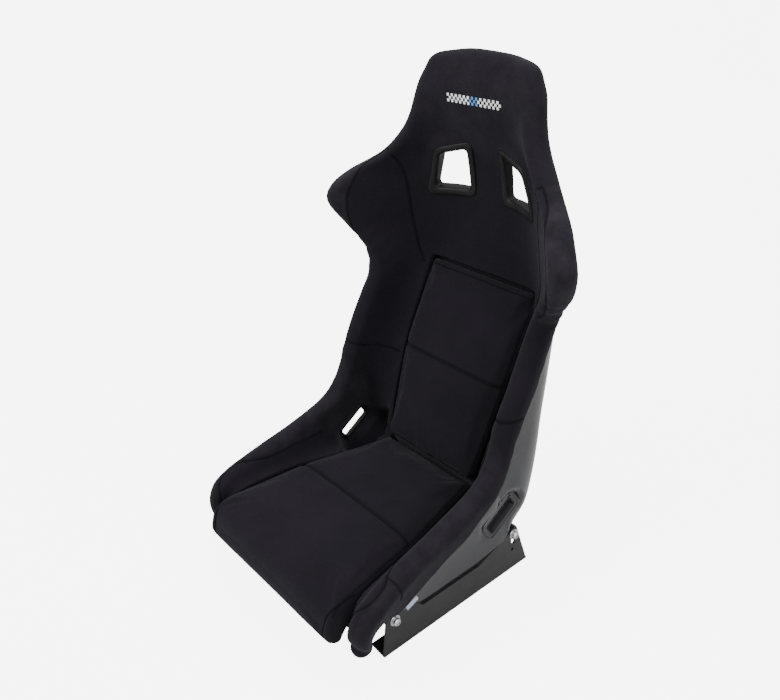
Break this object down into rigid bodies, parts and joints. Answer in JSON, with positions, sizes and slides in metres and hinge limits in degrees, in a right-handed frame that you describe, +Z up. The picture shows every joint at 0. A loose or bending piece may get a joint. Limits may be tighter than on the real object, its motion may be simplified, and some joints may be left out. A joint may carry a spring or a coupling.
{
  "type": "racing seat",
  "caption": "Fixed-back racing bucket seat: fibreglass shell, fabric-covered bolsters and cushions, harness openings, and slotted side-mount brackets.",
  "frame": {"origin": "middle of the footprint, on the floor plane under the bracket flanges", "axes": "+X towards the seat's own left-hand side seen from the front, -Y towards the front edge of the seat, +Z up"},
  "size_m": [0.6086, 0.596, 0.9056],
  "materials": {
    "fibreglass": "gloss gelcoat over woven fibre",
    "cover_fabric": "matt stretch knit",
    "cushion_fabric": "matt stretch knit",
    "foam": "open-cell foam",
    "hook_tape": "hook-and-loop tape",
    "bezel_plastic": "fine-grained moulded plastic",
    "woven_tag": "plain woven tape",
    "bracket_paint": "satin powder coat",
    "zinc": "bright zinc plate"
  },
  "bodies": {
    "mounts": {"bracket_right": "bracket_paint", "bracket_left": "bracket_paint"},
    "bucket": {"shell": "fibreglass", "back_lining_pad": "cover_fabric", "headrest_pad": "cover_fabric", "seat_base_foam": "foam", "thigh_bolster_right": "cover_fabric", "thigh_bolster_left": "cover_fabric", "shoulder_bolster_right": "cover_fabric", "shoulder_bolster_left": "cover_fabric", "seat_hook_strip_front": "hook_tape", "seat_hook_strip_rear": "hook_tape", "back_hook_strip_lower": "hook_tape", "back_hook_strip_upper": "hook_tape", "harness_bezel_right": "bezel_plastic", "harness_bezel_left": "bezel_plastic", "harness_rear_ring_right": "bezel_plastic", "harness_rear_ring_left": "bezel_plastic", "lap_belt_bezel_right": "bezel_plastic", "lap_belt_bezel_left": "bezel_plastic", "side_tag": "woven_tag", "front_bolt_right": "zinc", "front_bolt_left": "zinc", "front_washer_right": "zinc", "front_washer_left": "zinc", "front_spring_washer_right": "zinc", "front_spring_washer_left": "zinc", "front_insert_right": "zinc", "front_insert_left": "zinc", "rear_bolt_right": "zinc", "rear_bolt_left": "zinc", "rear_washer_right": "zinc", "rear_washer_left": "zinc", "rear_spring_washer_right": "zinc", "rear_spring_washer_left": "zinc", "rear_insert_right": "zinc", "rear_insert_left": "zinc"},
    "seat_pad": {"seat_cushion": "cushion_fabric"},
    "back_pad": {"back_cushion": "cushion_fabric"}
  },
  "joints": [
    {"name": "rake_adjust", "type": "hinge", "parent": "mounts", "child": "bucket", "pos_m": [0, -0.17518, 0.069], "axis": [-1, 0, 0], "range_deg": [0, 1.3]},
    {"name": "seat_cushion_lift_off", "type": "slide", "parent": "bucket", "child": "seat_pad", "axis": [0, -0.968, 0.251], "range_m": [0, 0.06]},
    {"name": "back_cushion_lift_off", "type": "slide", "parent": "bucket", "child": "back_pad", "axis": [0, -0.9994, 0.0337], "range_m": [0, 0.045]}
  ]
}
